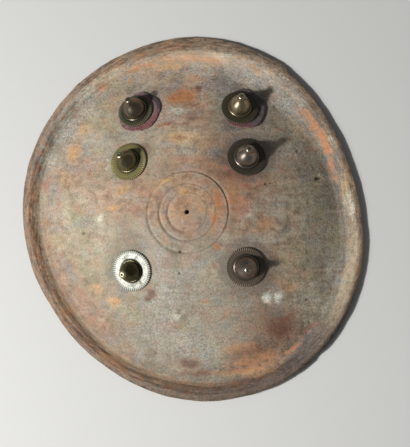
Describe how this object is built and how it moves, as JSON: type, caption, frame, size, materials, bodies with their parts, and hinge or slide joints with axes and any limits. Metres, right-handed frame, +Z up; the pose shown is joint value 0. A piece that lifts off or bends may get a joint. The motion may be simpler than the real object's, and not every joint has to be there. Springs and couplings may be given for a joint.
{
  "type": "round hide shield",
  "caption": "Round domed hide shield with turned rings, an upturned rolled rim and cast bosses with milled flanges riveted through the face.",
  "frame": {"origin": "middle of the plan, in the plane of the flat strip round the dome's foot that the shield lies on", "axes": "+Z up out of the face through the dome, +Y towards the pair of bosses with cloth under them, +X to the right seen from the front"},
  "size_m": [0.4586, 0.4848, 0.075],
  "materials": {
    "hide": "thick dried hide, worn and stained, dull satin",
    "boss_brass": "dark bronze-brown patina, rubbed bright on the high spots",
    "boss_cloth": "faded purple-red cloth, matt and dusty"
  },
  "bodies": {
    "root": {"hide_disc": "hide", "boss_upper_left": "boss_brass", "boss_upper_right": "boss_brass", "boss_middle_left": "boss_brass", "boss_middle_right": "boss_brass", "boss_lower_left": "boss_brass", "boss_lower_right": "boss_brass", "cloth_washer_upper_left": "boss_cloth", "cloth_washer_upper_right": "boss_cloth"}
  },
  "joints": []
}
